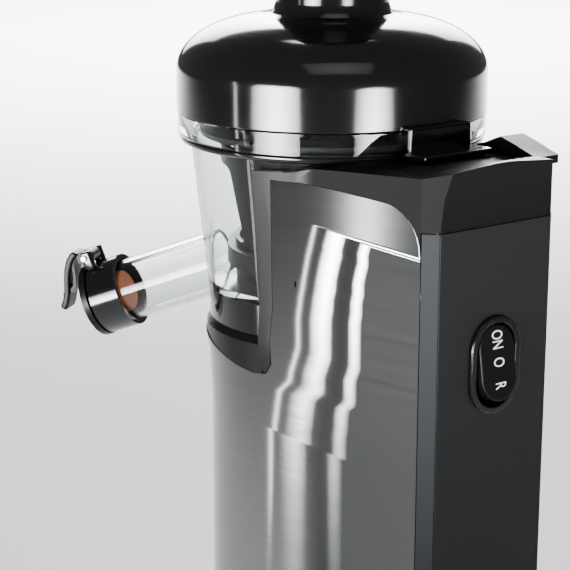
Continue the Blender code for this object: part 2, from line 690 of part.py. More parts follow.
def strainer():
    """The strainer's black frame with its rim, and the mesh cone inside it."""
    top = LID_EDGE_Z - 7 * MM
    low = GEAR_LOW_Z + GEAR_FACE + 2.2 * MM
    wall = STRAINER_WALL
    rim = bowl_radius(LID_EDGE_Z - 15 * MM) - BOWL_WALL - 0.8 * MM
    outside = [(STRAINER_TOP_RADIUS - wall, top), (rim, top), (rim, top - 2.5 * MM), (STRAINER_TOP_RADIUS, top - 2.5 * MM)]
    frame = turned("strainer_frame", outside + [(STRAINER_FOOT_RADIUS, low), (STRAINER_FOOT_RADIUS - wall, low)], GREY, 48)
    for i in range(6):
        opening = box("strainer_window_%d" % i, (20 * MM, -14 * MM, low + 7 * MM), (70 * MM, 14 * MM, top - 12 * MM), bevel=2 * MM)
        opening.parent = frame_at("strainer_turn_%d" % i, (0, 0, 0), (0, 0, math.radians(60 * i)))
        cut(frame, opening)
    inner_top, inner_low = STRAINER_TOP_RADIUS - wall - GAP, STRAINER_FOOT_RADIUS - wall - GAP
    thin = 0.5 * MM
    sheet = [(inner_top - thin, top - 1 * MM), (inner_top, top - 1 * MM), (inner_low, low + GAP), (inner_low - thin, low + GAP)]
    turned("strainer_mesh", sheet, METAL, 48)
    return frame


def auger():
    """The feed screw: tapered core with one broad flight, a top pin, and the gear that turns the idler."""
    low = GEAR_LOW_Z
    high = LID_EDGE_Z - 10 * MM
    start = low + GEAR_FACE + 1 * MM
    core = [(0, high + 12 * MM), (4 * MM, high + 12 * MM), (4 * MM, high), (9 * MM, high - 2 * MM)]
    core += [(15 * MM, start + 20 * MM), (20 * MM, start + 3 * MM), (20 * MM, start), (13 * MM, start)]
    core += [(10 * MM, start - 0.6 * MM), (9.5 * MM, low), (0, low)]
    screw = turned("auger", core, GREY, 40, ring=False)
    gear = outline("auger_gear", [gear_outline(AUGER_GEAR_TEETH)], low, low + GEAR_FACE)
    join(screw, gear)
    thick, turns, steps = 4 * MM, 1.75, 56
    rings = []
    for i in range(steps + 1):
        share = i / steps
        angle = 2 * math.pi * turns * share
        z = start + 4 * MM + share * (high - start - 10 * MM)
        reach = AUGER_RADIUS + share * (STRAINER_TOP_RADIUS - STRAINER_FOOT_RADIUS - 4 * MM)
        section = [(6 * MM, -thick / 2), (reach, -thick / 4), (reach, thick / 4), (6 * MM, thick / 2)]
        rings.append([(r * math.cos(angle), r * math.sin(angle), z + rise) for r, rise in section])
    join(screw, loft("auger_flight", rings))
    socket = outline("auger_socket", [hexagon(2 * SHAFT_RADIUS - 2 * MM)], low - 5 * MM, low + 24 * MM)
    return cut(screw, socket)


juice_bowl()
bowl_ring()
bowl_base()
shaft_seal()
pulp_plug()
idler_gear()
brush_frame()
strainer()
auger()


def lid():
    """The black lid: skirt, dome and feed chute, open inside, with the lock tab at its back."""
    edge, skirt = LID_EDGE_Z, LID_EDGE_Z + LID_SKIRT_HEIGHT
    crown = skirt + LID_DOME_HEIGHT
    chute_top = crown + CHUTE_HEIGHT
    dome = [(LID_RADIUS - 0.8 * MM * 2 * i - 1.1 * MM * i * i / 2, skirt + 5.5 * MM * i) for i in range(1, 4)]
    outside = [(CHUTE_RADIUS + 1 * MM, chute_top), (CHUTE_RADIUS + 1 * MM, crown + 6 * MM), (CHUTE_RADIUS + 5 * MM, crown)]
    outside += dome[::-1] + [(LID_RADIUS, skirt), (LID_RADIUS, edge)]
    wall = LID_WALL
    inside = [(LID_RADIUS - wall, edge), (LID_RADIUS - wall, skirt)]
    inside += [(r - wall, z - 0.6 * wall) for r, z in dome]
    inside += [(CHUTE_RADIUS + 4 * MM, crown - wall), (CHUTE_RADIUS - 1.5 * MM, crown + 1 * MM)]
    inside += [(CHUTE_RADIUS - 1.5 * MM, chute_top)]
    shell = turned("lid", outside + inside, BLACK_GLOSS, 56)
    tab_low, tab_high = edge - 8.5 * MM, edge + 2 * MM
    y = LID_TAB_RADIUS - 0.5 * MM
    plate = box("tab_plate", (-18 * MM, LID_RADIUS - 1.5 * MM, edge + 0.2 * MM), (15 * MM, y + 1 * MM, tab_high))
    drop = box("tab_drop", (-18 * MM, y - 1.6 * MM, tab_low), (15 * MM, y + 1 * MM, tab_high))
    foot_side = [(y, tab_low + 1 * MM), (y, -1.8 * MM + tab_low), (84 * MM, tab_low - 1.8 * MM), (84 * MM, tab_low + 0.8 * MM)]
    foot = outline("tab_foot", [foot_side], -20 * MM, 17 * MM, turn=ALONG_X)
    bridge = box("lid_bridge", (-CHUTE_RADIUS, -3 * MM, crown + 2 * MM), (CHUTE_RADIUS, 3 * MM, crown + 5 * MM))
    hub = rod("lid_hub", 8 * MM, (0, 0, LID_EDGE_Z - 9 * MM), (0, 0, crown + 4 * MM), sides=24)
    join(shell, plate, drop, foot, bridge, hub)
    return cut(shell, rod("hub_bore", 6 * MM, (0, 0, 0.2), (0, 0, crown - 14 * MM), sides=24))


def lid_bushing():
    """The bush in the lid's hub that guides the auger's top pin."""
    low = LID_EDGE_Z - 8 * MM
    inner = 4 * MM + RUNNING
    return turned("lid_bushing", [(inner, low + 9 * MM), (5.7 * MM, low + 9 * MM), (5.7 * MM, low), (inner, low)], METAL, 24)


def lid_gasket():
    """The seal between the bowl's rim and the lid; it rides up with the lid."""
    outer = LID_RADIUS - LID_WALL - 0.5 * MM
    low = LID_EDGE_Z + RIM_LIP_HEIGHT + GAP
    high = low + 3 * MM
    inner = outer - 4 * MM
    return turned("lid_gasket", [(inner, high), (outer, high), (outer, low), (inner, low)], RUBBER, 56)


def pusher():
    """The food pusher: a hollow grey plug with a broad cap over the chute."""
    crown = LID_EDGE_Z + LID_SKIRT_HEIGHT + LID_DOME_HEIGHT
    top = crown + CHUTE_HEIGHT + GAP
    radius = CHUTE_RADIUS - 1.5 * MM - 0.6 * MM
    low = top - 52 * MM
    cap = CHUTE_RADIUS + 5 * MM
    outside = [(0, top + 14 * MM), (cap - 3 * MM, top + 14 * MM), (cap, top + 11 * MM), (cap, top), (radius, top)]
    outside += [(radius, low), (radius - 2 * MM, low), (radius - 2 * MM, top - 2 * MM), (0, top - 2 * MM)]
    return turned("pusher", outside, BLACK_MATT, 40, ring=False)


def spout_collar():
    """The clip-on collar at the spout's end, with the hinge boss on top."""
    start, end = SPOUT_LENGTH - COLLAR_LENGTH + 2 * MM, SPOUT_LENGTH + 1.4 * MM
    inner = SPOUT_RADIUS + GAP
    outer = inner + COLLAR_WALL
    collar = along("spout_collar", juice_axis, outer, start, end, BLACK_GLOSS, 36)
    hinge = (SPOUT_LENGTH + 0.5 * MM, outer + 3.9 * MM)
    for side in (-1, 1):
        low = (hinge[0] - 3.6 * MM, side * 6.5 * MM - 1.8 * MM, outer - 2 * MM)
        high = (hinge[0] + 1.6 * MM, side * 6.5 * MM + 1.8 * MM, hinge[1] + 3 * MM)
        join(collar, box("boss_%d" % side, low, high, bevel=1.2 * MM, parent=juice_axis))
    cut(collar, along("collar_room", juice_axis, inner, start - 0.01, end + 0.01))
    pin_room = rod("pin_room", 1.5 * MM + 0.05 * MM, (hinge[0], -0.02, hinge[1]), (hinge[0], 0.02, hinge[1]), sides=16,
                   parent=juice_axis)
    cut(collar, pin_room)
    rod("flap_pin", 1.5 * MM, (hinge[0], -9.4 * MM, hinge[1]), (hinge[0], 9.4 * MM, hinge[1]), METAL, 16,
        parent=juice_axis)
    return hinge


def spout_flap(hinge):
    """The disc that shuts the spout, with its knuckle and curved finger lever, and its silicone seal."""
    axis = frame_at("flap_hinge_axis", (hinge[0], 0, hinge[1]), (0, 0, 0), juice_axis)
    radius = SPOUT_RADIUS + GAP + COLLAR_WALL + 0.4 * MM
    near = SPOUT_LENGTH + 2.4 * MM - hinge[0]
    flap = rod("spout_flap", radius, (near, 0, -hinge[1]), (near + FLAP_THICKNESS, 0, -hinge[1]), BLACK_GLOSS, 36,
               parent=axis)
    knuckle = rod("flap_knuckle", 3.4 * MM, (0, -4.2 * MM, 0), (0, 4.2 * MM, 0), sides=20, parent=axis)
    web = box("flap_web", (1.2 * MM, -4.2 * MM, -8 * MM), (near + 2.4 * MM, 4.2 * MM, 1 * MM), parent=axis)
    curve = [(1.5, 2.6), (6, 3.4), (9, 0.5), (10.5, -6), (12.5, -11), (17, -13.6), (19.5, -13.2)]
    thick = 1.4 * MM
    upper = [(x * MM, z * MM) for x, z in curve]
    lower = [(x - 0.8 * thick, z - thick) for x, z in upper]
    lever = outline("flap_lever", [upper + lower[::-1]], -4.2 * MM, 4.2 * MM, turn=ALONG_Y, parent=axis)
    lever.matrix_world = axis.matrix_world @ ALONG_Y
    root_block = box("lever_root", (-1 * MM, -4.2 * MM, -2 * MM), (5.5 * MM, 4.2 * MM, 3 * MM), parent=axis)
    join(flap, knuckle, web, root_block, lever)
    cut(flap, rod("knuckle_bore", 1.5 * MM + 0.08 * MM, (0, -0.02, 0), (0, 0.02, 0), sides=16, parent=axis))
    seal_radius = SPOUT_RADIUS - SPOUT_WALL - 0.6 * MM
    rod("flap_seal", seal_radius, (near - GAP - 3.4 * MM, 0, -hinge[1]), (near - GAP, 0, -hinge[1]), ORANGE, 32,
        parent=axis, end_radius=seal_radius)
    return flap


lid()
lid_bushing()
lid_gasket()
pusher()
spout_flap(spout_collar())


def motor():
    """Motor can with its windings, rotor with fan and pinion, end bell and bearings, on the drive axis."""
    low = WALLS_Z + 14 * MM
    high = low + MOTOR_HEIGHT
    radius, wall = MOTOR_RADIUS, 2 * MM
    can = [(radius - wall, high), (radius, high), (radius, low), (8.4 * MM, low), (8.4 * MM, low + wall),
           (radius - wall, low + wall)]
    turned("motor_can", can, METAL, 36)
    coil_low, coil_high = low + 8 * MM, high - 8 * MM
    inner = 19 * MM
    outer = radius - wall - GAP
    turned("motor_winding", [(inner, coil_high), (outer, coil_high), (outer, coil_low), (inner, coil_low)], COPPER, 36)
    bell_low = high + GAP
    bell = [(11.4 * MM, bell_low + 5 * MM), (radius, bell_low + 5 * MM), (radius, bell_low), (11.4 * MM, bell_low)]
    turned("motor_end_bell", bell, METAL, 36)
    bearing = [(4 * MM + RUNNING, bell_low + 5 * MM), (11 * MM, bell_low + 5 * MM), (11 * MM, bell_low),
               (4 * MM + RUNNING, bell_low)]
    turned("motor_bearing", bearing, METAL, 28)
    pinion_low = high + 12 * MM
    shaft = rod("motor_rotor", 4 * MM, (0, 0, low - 10 * MM), (0, 0, pinion_low + 12 * MM), METAL, 24)
    core = rod("rotor_core", inner - 1 * MM, (0, 0, coil_low + 1 * MM), (0, 0, coil_high - 1 * MM), sides=28)
    fan_disc = rod("fan_disc", 24 * MM, (0, 0, low - 9 * MM), (0, 0, low - 7.5 * MM), sides=28)
    pinion = outline("rotor_pinion", [gear_outline(MOTOR_PINION_TEETH)], pinion_low, pinion_low + 10 * MM)
    join(shaft, core, fan_disc, pinion)
    for i in range(8):
        blade = box("fan_blade_%d" % i, (6 * MM, -0.7 * MM, low - 8 * MM), (23.5 * MM, 0.7 * MM, low - 2 * MM))
        blade.parent = frame_at("fan_turn_%d" % i, (0, 0, 0), (0, 0, math.radians(45 * i)))
        join(shaft, blade)
    return high, pinion_low


def rounded_box(half_width, front, back, corner=8 * MM):
    loop = arc(half_width - corner, back - corner, corner, 0, 90, 5)
    loop += arc(corner - half_width, back - corner, corner, 90, 180, 5)
    loop += arc(corner - half_width, front + corner, corner, 180, 270, 5)
    return loop + arc(half_width - corner, front + corner, corner, 270, 360, 5)


def gearbox(motor_top, pinion_low):
    """Two gear stages in a housing: motor pinion, double gear on a layshaft, output gear on the drive shaft."""
    distance = GEAR_MODULE * (MOTOR_PINION_TEETH + MOTOR_GEAR_TEETH) / 2
    large = GEAR_MODULE * MOTOR_GEAR_TEETH / 2 + 1.3 * MM
    low = motor_top + 6 * MM
    high = low + GEARBOX_HEIGHT
    half, front, back = large + 4.5 * MM, -large - 4.5 * MM, distance + large + 4.5 * MM
    housing = outline("gearbox_housing", [rounded_box(half, front, back)], low, high, BLACK_MATT)
    hollow = rounded_box(half - 2.5 * MM, front + 2.5 * MM, back - 2.5 * MM)
    cut(housing, outline("gearbox_hollow", [hollow], low + 3 * MM, high + 0.01))
    cut(housing, rod("gearbox_bore", 9 * MM, (0, 0, low - 0.01), (0, 0, low + 0.01)))
    lid_loops = [rounded_box(half, front, back), circle(13 * MM + GAP, 28)]
    outline("gearbox_cover", lid_loops, high + GAP, high + 3 * MM, BLACK_MATT)
    bearing_low, bearing_high = high - 4 * MM, high + 3 * MM
    bore = SHAFT_RADIUS + RUNNING
    outer = 13 * MM
    turned("output_bearing", [(bore, bearing_high), (outer, bearing_high), (outer, bearing_low), (bore, bearing_low)],
           METAL, 28)
    stage_one, stage_two = pinion_low + 1 * MM, pinion_low + 13.5 * MM
    width = 8 * MM
    half_step = math.pi / MOTOR_GEAR_TEETH
    facing = -math.pi / 2 + half_step
    gear = outline("layshaft_gear", [gear_outline(MOTOR_GEAR_TEETH, facing + pinion_turn(facing))], stage_one,
                   stage_one + width, METAL)
    small = outline("layshaft_pinion", [gear_outline(MOTOR_PINION_TEETH, -math.pi / 2)], stage_one + 1 * MM,
                    stage_two + width)
    spindle = rod("layshaft", 4 * MM, (0, 0, low + 3.4 * MM), (0, 0, stage_two + width + 3 * MM), sides=20)
    join(gear, small, spindle)
    gear.location.y = distance
    small.location.y = distance
    spindle.location.y = distance
    shaft_low = stage_two
    shaft = rod("drive_shaft", SHAFT_RADIUS, (0, 0, shaft_low), (0, 0, GEAR_LOW_Z - 1.2 * MM), METAL, 28)
    output = outline("output_gear", [gear_outline(MOTOR_GEAR_TEETH, math.pi / 2 + half_step)], shaft_low,
                     shaft_low + width)
    hexed = outline("shaft_hexagon", [hexagon(2 * SHAFT_RADIUS - 2.8 * MM)], GEAR_LOW_Z - 4 * MM, GEAR_LOW_Z + 21 * MM)
    return join(shaft, output, hexed)


def pinion_turn(facing):
    """The extra turn that puts a tooth gap of the layshaft gear opposite a tooth of the motor pinion."""
    pinion_step = 2 * math.pi / MOTOR_PINION_TEETH
    off = (math.pi / 2) % pinion_step
    ratio = MOTOR_PINION_TEETH / MOTOR_GEAR_TEETH
    return -off * ratio


def electrics():
    """The circuit board with its capacitor and relay, and the safety switch under the cover."""
    y = BODY_BACK_Y - 32 * MM
    half = 22 * MM
    low, high = WALLS_Z + 20 * MM, WALLS_Z + 62 * MM
    board_y = y + 14 * MM
    box("control_board", (-half, board_y, low), (half, board_y + 1.6 * MM, high), BOARD)
    rod("capacitor", 7 * MM, (-9 * MM, board_y + 2 * MM, high - 14 * MM), (-9 * MM, board_y + 13 * MM, high - 14 * MM),
        BLACK_GLOSS, 20)
    box("relay", (4 * MM, board_y + 2 * MM, high - 20 * MM), (20 * MM, board_y + 12 * MM, high - 8 * MM), GREY)
    stop_low = COVER_TOP_Z - 24 * MM
    box("lid_safety_switch", (-32 * MM, 76 * MM, stop_low), (-20 * MM, 88 * MM, stop_low + 12 * MM), BLACK_MATT)


def power_switch():
    """The oval three-way rocker in its raised bezel, on the switch body behind the panel."""
    face = BODY_BACK_Y
    rim = [(x, z + SWITCH_Z) for x, z in oval(BEZEL_WIDTH, BEZEL_HEIGHT)]
    inner = [(x, z + SWITCH_Z) for x, z in oval(ROCKER_WIDTH + 1.6 * MM, BEZEL_HEIGHT - 5.5 * MM)]
    outline("switch_bezel", [rim, inner], -face - BEZEL_DEPTH, -face - GAP, BLACK_GLOSS, turn=ALONG_Y)
    pivot_y = face - 5 * MM
    axis = frame_at("rocker_axis", (0, pivot_y, SWITCH_Z), (ROCKER_TILT, 0, 0))
    lens = oval(ROCKER_WIDTH, ROCKER_HEIGHT)
    rocker = outline("switch_rocker", [lens], -BEZEL_DEPTH - 6.4 * MM, -1.2 * MM, BLACK_GLOSS)
    rocker.parent = axis
    rocker.matrix_world = axis.matrix_world @ ALONG_Y @ Matrix.Translation(
        (0, 0, (-BEZEL_DEPTH - 7.6 * MM) / 2))
    pivot = rod("rocker_pin", 1.8 * MM, (-8 * MM, 0, 0), (8 * MM, 0, 0), sides=16, parent=axis)
    join(rocker, pivot)
    low, high = SWITCH_Z - 17 * MM, SWITCH_Z + 17 * MM
    body = box("switch_body", (-9.5 * MM, face - 26 * MM, low), (9.5 * MM, pivot_y - 3.4 * MM, high), BLACK_MATT)
    for side in (-1, 1):
        cheek_low = (8.9 * side * MM - 0.5 * MM, pivot_y - 5 * MM, SWITCH_Z - 3 * MM)
        cheek_high = (8.9 * side * MM + 0.5 * MM, pivot_y + 0.3 * MM, SWITCH_Z + 3 * MM)
        join(body, box("switch_cheek_%d" % side, cheek_low, cheek_high))
    room = box("rocker_room", (-7.5 * MM, pivot_y - 9 * MM, low + 4 * MM), (7.5 * MM, face, high - 4 * MM))
    cut(body, room)
    return rocker


def fasten_base():
    """The screws up through the base plate."""
    for name, x, y in [("front", 0, -40), ("left", -38, 40), ("right", 38, 40)]:
        at = (x * MM, y * MM)
        plate_top = BASE_Z + BASE_PLATE_THICKNESS
        screw = rod("base_screw_" + name, 2 * MM, (*at, plate_top + GAP), (*at, plate_top + 12 * MM), METAL, 12)
        join(screw, rod("screw_head_" + name, 4 * MM, (*at, plate_top + GAP), (*at, plate_top + 2.4 * MM), sides=16))


def settle():
    """Moves the whole juicer so that the origin is under the middle of its box, on the table."""
    bpy.context.view_layer.update()
    graph = bpy.context.evaluated_depsgraph_get()
    corners = []
    for obj in parts.objects:
        if obj.type == "MESH":
            found = obj.evaluated_get(graph)
            corners += [found.matrix_world @ vertex.co for vertex in found.data.vertices]
    low = [min(corner[i] for corner in corners) for i in range(3)]
    high = [max(corner[i] for corner in corners) for i in range(3)]
    root.location = (-(low[0] + high[0]) / 2, -(low[1] + high[1]) / 2, -low[2])


gearbox(*motor())
electrics()
power_switch()
fasten_base()
settle()
bpy.context.view_layer.update()
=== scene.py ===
"""The looks of the upright slow juicer, laid out as an add-on: one operator for each group of its pieces."""

import json
import math

import bpy
from mathutils import Matrix, Vector

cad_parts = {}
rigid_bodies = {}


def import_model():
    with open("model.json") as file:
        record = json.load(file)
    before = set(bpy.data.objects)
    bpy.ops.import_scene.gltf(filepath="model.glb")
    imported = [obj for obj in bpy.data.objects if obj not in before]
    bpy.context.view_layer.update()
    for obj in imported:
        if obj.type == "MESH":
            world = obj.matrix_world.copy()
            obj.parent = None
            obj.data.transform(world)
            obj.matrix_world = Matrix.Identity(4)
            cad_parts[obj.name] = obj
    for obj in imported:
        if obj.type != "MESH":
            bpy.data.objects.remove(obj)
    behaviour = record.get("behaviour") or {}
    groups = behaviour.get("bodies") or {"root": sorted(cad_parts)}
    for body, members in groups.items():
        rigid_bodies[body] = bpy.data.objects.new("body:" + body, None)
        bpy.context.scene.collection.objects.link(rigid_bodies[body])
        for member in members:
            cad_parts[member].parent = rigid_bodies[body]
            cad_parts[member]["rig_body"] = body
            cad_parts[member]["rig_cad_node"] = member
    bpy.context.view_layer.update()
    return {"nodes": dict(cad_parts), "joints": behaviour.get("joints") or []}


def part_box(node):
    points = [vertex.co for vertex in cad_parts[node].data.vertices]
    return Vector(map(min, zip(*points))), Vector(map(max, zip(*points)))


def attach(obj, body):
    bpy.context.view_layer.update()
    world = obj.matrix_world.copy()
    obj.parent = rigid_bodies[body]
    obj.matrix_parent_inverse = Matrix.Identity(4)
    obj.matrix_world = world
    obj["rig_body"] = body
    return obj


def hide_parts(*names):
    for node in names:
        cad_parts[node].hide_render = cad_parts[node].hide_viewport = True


bl_info = {
    "name": "Slow juicer looks",
    "version": (1, 0, 0),
    "blender": (4, 5, 0),
    "location": "3D View > Sidebar > Juicer",
    "description": "Models and finishes the visible pieces of an upright slow juicer around its packed frame",
    "category": "Object",
}

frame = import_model()

MM = 0.001
ring_low, ring_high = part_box("bowl_ring")
AXIS = (ring_low + ring_high) / 2
AXIS.z = 0
LID_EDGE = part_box("lid_gasket")[0].z - 4.3 * MM
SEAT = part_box("bowl_platform")[1].z


def linear(hex_colour):
    """An sRGB hex value as the linear colour that shaders take."""
    parts = [int(hex_colour[i : i + 2], 16) / 255 for i in (0, 2, 4)]
    return tuple(c / 12.92 if c <= 0.04045 else ((c + 0.055) / 1.055) ** 2.4 for c in parts) + (1.0,)


def colour(name, description, value):
    return bpy.props.FloatVectorProperty(
        name=name, description=description, subtype="COLOR", size=4, min=0, max=1, default=linear(value))


def size(name, description, value):
    return bpy.props.FloatProperty(name=name, description=description, default=value, unit="LENGTH", precision=4)


class JuicerColours(bpy.types.PropertyGroup):
    steel: colour("Steel", "Colour of the brushed stainless wrap", "8f9193")
    gloss: colour("Gloss black", "Colour of the polished ABS", "08080a")
    matt: colour("Matt black", "Colour of the spark-eroded ABS of the back panel", "121315")
    # The corner strip's charcoal is painted light: the strip is black ABS, drawn lighter as a painted highlight for the
    # light it catches at the corner.
    strip: colour("Corner strip", "Colour of the satin corner strips", "24282a")
    clear: colour("Clear", "Tint of the clear copolyester", "f2f6f7")
    silicone: colour("Silicone", "Colour of the orange seals", "b4602e")
    grey: colour("Grey", "Colour of the strainer and the screw", "36373a")
    print_white: colour("Lettering", "Colour of the pad-printed switch letters", "f4f4f4")


class JuicerSizes(bpy.types.PropertyGroup):
    edge: size("Edge rounding", "Radius on the moulded edges", 0.6 * MM)
    hood_edge: size("Hood rounding", "Radius on the hood's outer edge", 1.8 * MM)
    steel_grain: size("Brush line spacing", "Spacing of the brush lines, drawn coarser than 0.1 mm to show", 0.45 * MM)
    texture_grain: size("Texture grain", "Grain of the spark-eroded surface", 0.5 * MM)
    letter_height: size("Letter height", "Height of the switch letters", 8.2 * MM)


def shades():
    return bpy.context.scene.juicer_colours


def sizes():
    return bpy.context.scene.juicer_sizes


def add_node(tree, kind, settings=None, links=None):
    """Adds a node; settings are attributes or input values, and links feed its inputs from (node, output)."""
    made = tree.nodes.new(kind)
    for key, value in (settings or {}).items():
        if isinstance(key, str) and hasattr(made, key):
            setattr(made, key, value)
        else:
            made.inputs[key].default_value = value
    for key, (source, output) in (links or {}).items():
        tree.links.new(source.outputs[output], made.inputs[key])
    return made


def new_material(name, base, roughness, metallic=0.0, **inputs):
    made = bpy.data.materials.new(name)
    made.use_nodes = True
    shader = made.node_tree.nodes["Principled BSDF"]
    shader.inputs["Base Color"].default_value = base
    shader.inputs["Roughness"].default_value = roughness
    shader.inputs["Metallic"].default_value = metallic
    for key, value in inputs.items():
        shader.inputs[key.replace("_", " ")].default_value = value
    return made, made.node_tree, shader


def noise_on_object(tree, scale, stretch=(1, 1, 1), detail=3.0):
    """Noise in the object's own coordinates, stretched along some axes."""
    place = add_node(tree, "ShaderNodeTexCoord")
    mapping = add_node(tree, "ShaderNodeMapping", {"Scale": stretch}, {"Vector": (place, "Object")})
    return add_node(tree, "ShaderNodeTexNoise", {"Scale": scale, "Detail": detail}, {"Vector": (mapping, "Vector")})


def roughness_between(tree, shader, source, low, high):
    spread = add_node(tree, "ShaderNodeMapRange", {"To Min": low, "To Max": high}, {"Value": (source, "Fac")})
    tree.links.new(spread.outputs["Result"], shader.inputs["Roughness"])


def bump_from(tree, shader, source, strength, distance):
    bump = add_node(tree, "ShaderNodeBump", {"Strength": strength, "Distance": distance}, {"Height": (source, "Fac")})
    tree.links.new(bump.outputs["Normal"], shader.inputs["Normal"])


def brushed_stainless():
    # Stainless sheet brushed round the body: fine level lines, which draw each reflection out into an upright band.
    made, tree, shader = new_material("brushed_stainless", shades().steel, 0.18, 1.0, Anisotropic=0.9)
    shader.inputs["Anisotropic Rotation"].default_value = 0.25
    lines = noise_on_object(tree, 1 / (2.2 * sizes().steel_grain), (0.012, 0.012, 1.0), 5.0)
    ramp = add_node(tree, "ShaderNodeMapRange", {"To Min": 0.84, "To Max": 1.1}, {"Value": (lines, "Fac")})
    tint = add_node(tree, "ShaderNodeMix", {"data_type": "RGBA", "blend_type": "MULTIPLY", 0: 1.0}, {7: (ramp, "Result")})
    tint.inputs[6].default_value = shades().steel
    tree.links.new(tint.outputs[2], shader.inputs["Base Color"])
    roughness_between(tree, shader, lines, 0.14, 0.22)
    bump_from(tree, shader, lines, 0.10, 0.05 * MM)
    round_body = add_node(tree, "ShaderNodeTangent", {"direction_type": "RADIAL", "axis": "Z"})
    tree.links.new(round_body.outputs["Tangent"], shader.inputs["Tangent"])
    return made


def polished_abs():
    # Piano-black ABS from a polished mould: near mirror, with the faint waviness that mouldings have.
    made, tree, shader = new_material("polished_black_abs", shades().gloss, 0.10, IOR=1.53, Coat_Weight=0.25)
    shader.inputs["Coat Roughness"].default_value = 0.04
    waves = noise_on_object(tree, 60.0, detail=2.0)
    roughness_between(tree, shader, waves, 0.07, 0.16)
    bump_from(tree, shader, waves, 0.05, 0.2 * MM)
    return made


def satin_abs(name="satin_black_abs", base=None, low=0.32, high=0.44):
    # ABS from a fine-blasted mould: soft, broad highlights with a slight speckle.
    made, tree, shader = new_material(name, base or shades().gloss, 0.32, IOR=1.53)
    shader.inputs["Specular IOR Level"].default_value = 0.2
    grain = noise_on_object(tree, 1 / (1.5 * sizes().texture_grain), detail=4.0)
    roughness_between(tree, shader, grain, low, high)
    bump_from(tree, shader, grain, 0.04, 0.05 * MM)
    return made


def eroded_abs():
    # ABS with a spark-eroded texture: fine leathery pits that break up every reflection.
    made, tree, shader = new_material("eroded_black_abs", shades().matt, 0.5, IOR=1.53)
    shader.inputs["Specular IOR Level"].default_value = 0.25
    pits = noise_on_object(tree, 1 / sizes().texture_grain, detail=5.0)
    roughness_between(tree, shader, pits, 0.40, 0.58)
    bump_from(tree, shader, pits, 0.22, 0.08 * MM)
    return made


def clear_copolyester():
    # Clear copolyester: bright, faintly cool, with polished walls and slight flow waves.
    made, tree, shader = new_material("clear_copolyester", shades().clear, 0.02, IOR=1.45)
    shader.inputs["Transmission Weight"].default_value = 1.0
    waves = noise_on_object(tree, 45.0, detail=1.0)
    bump_from(tree, shader, waves, 0.03, 0.2 * MM)
    return made


def silicone():
    # Food-grade silicone: soft orange, slightly translucent, with a dusty sheen.
    made, tree, shader = new_material("orange_silicone", shades().silicone, 0.5, IOR=1.41, Subsurface_Weight=0.2)
    shader.inputs["Subsurface Scale"].default_value = 2 * MM
    roughness_between(tree, shader, noise_on_object(tree, 900.0), 0.42, 0.6)
    return made


def rubber():
    # Black thermoplastic rubber: matt, with a little dust-grey variation.
    made, tree, shader = new_material("black_rubber", linear("17171a"), 0.75, IOR=1.5)
    roughness_between(tree, shader, noise_on_object(tree, 500.0), 0.65, 0.85)
    return made


def moulded_grey():
    # Glass-filled polymer of the strainer and the screw: satin grey with a fine mottle.
    made, tree, shader = new_material("moulded_grey_polymer", shades().grey, 0.4, IOR=1.58)
    mottle = noise_on_object(tree, 700.0, detail=4.0)
    roughness_between(tree, shader, mottle, 0.32, 0.48)
    return made


def perforated_steel():
    # Etched stainless strainer sheet: rows of holes about 1 mm apart, drawn as dark dots.
    made, tree, shader = new_material("perforated_stainless", linear("9a9c9e"), 0.3, 1.0)
    place = add_node(tree, "ShaderNodeTexCoord")
    mapping = add_node(tree, "ShaderNodeMapping", {"Scale": (620, 620, 620)}, {"Vector": (place, "Object")})
    dots = add_node(tree, "ShaderNodeTexVoronoi", {"Scale": 1.0, "Randomness": 0.0}, {"Vector": (mapping, "Vector")})
    hole = add_node(tree, "ShaderNodeMapRange", {"From Min": 0.30, "From Max": 0.42}, {"Value": (dots, "Distance")})
    tint = add_node(tree, "ShaderNodeMix", {"data_type": "RGBA"}, {0: (hole, "Result")})
    tint.inputs[6].default_value = linear("0a0a0a")
    tint.inputs[7].default_value = linear("a4a6a8")
    tree.links.new(tint.outputs[2], shader.inputs["Base Color"])
    return made


def machined_steel():
    # Turned and ground steel: bright with fine rings.
    made, tree, shader = new_material("machined_steel", linear("a9abae"), 0.3, 1.0)
    roughness_between(tree, shader, noise_on_object(tree, 300.0, (1, 1, 8)), 0.22, 0.4)
    return made


def copper_wire():
    # Enamelled copper winding: warm, glossy, ribbed by the turns.
    made, tree, shader = new_material("enamelled_copper", linear("a5562c"), 0.35, 1.0)
    bump_from(tree, shader, noise_on_object(tree, 400.0, (1, 1, 6)), 0.3, 0.2 * MM)
    return made


def board_green():
    # Solder-masked board: green, with a satin lacquer.
    made, tree, shader = new_material("solder_mask", linear("1d4a2c"), 0.35)
    roughness_between(tree, shader, noise_on_object(tree, 300.0), 0.28, 0.42)
    return made


def white_print():
    # Pad-printed ink: flat white, a little uneven.
    made, tree, shader = new_material("white_print_ink", shades().print_white, 0.5)
    roughness_between(tree, shader, noise_on_object(tree, 900.0), 0.42, 0.6)
    return made


FINISHES = {}


def finish_of(maker):
    """The material that a maker makes, made once."""
    if maker not in FINISHES:
        FINISHES[maker] = maker()
    return FINISHES[maker]


def paint(obj, maker):
    obj.data.materials.clear()
    obj.data.materials.append(finish_of(maker))
    return obj


def alone(obj):
    bpy.ops.object.select_all(action="DESELECT")
    obj.select_set(True)
    bpy.context.view_layer.objects.active = obj


def in_edit(obj, *steps):
    """Runs mesh operators on all of an object: each step is (operator, settings)."""
    alone(obj)
    bpy.ops.object.mode_set(mode="EDIT")
    bpy.ops.mesh.select_mode(type="VERT")
    for operator, settings in steps:
        bpy.ops.mesh.select_all(action="SELECT")
        operator(**settings)
    bpy.ops.object.mode_set(mode="OBJECT")
    return obj


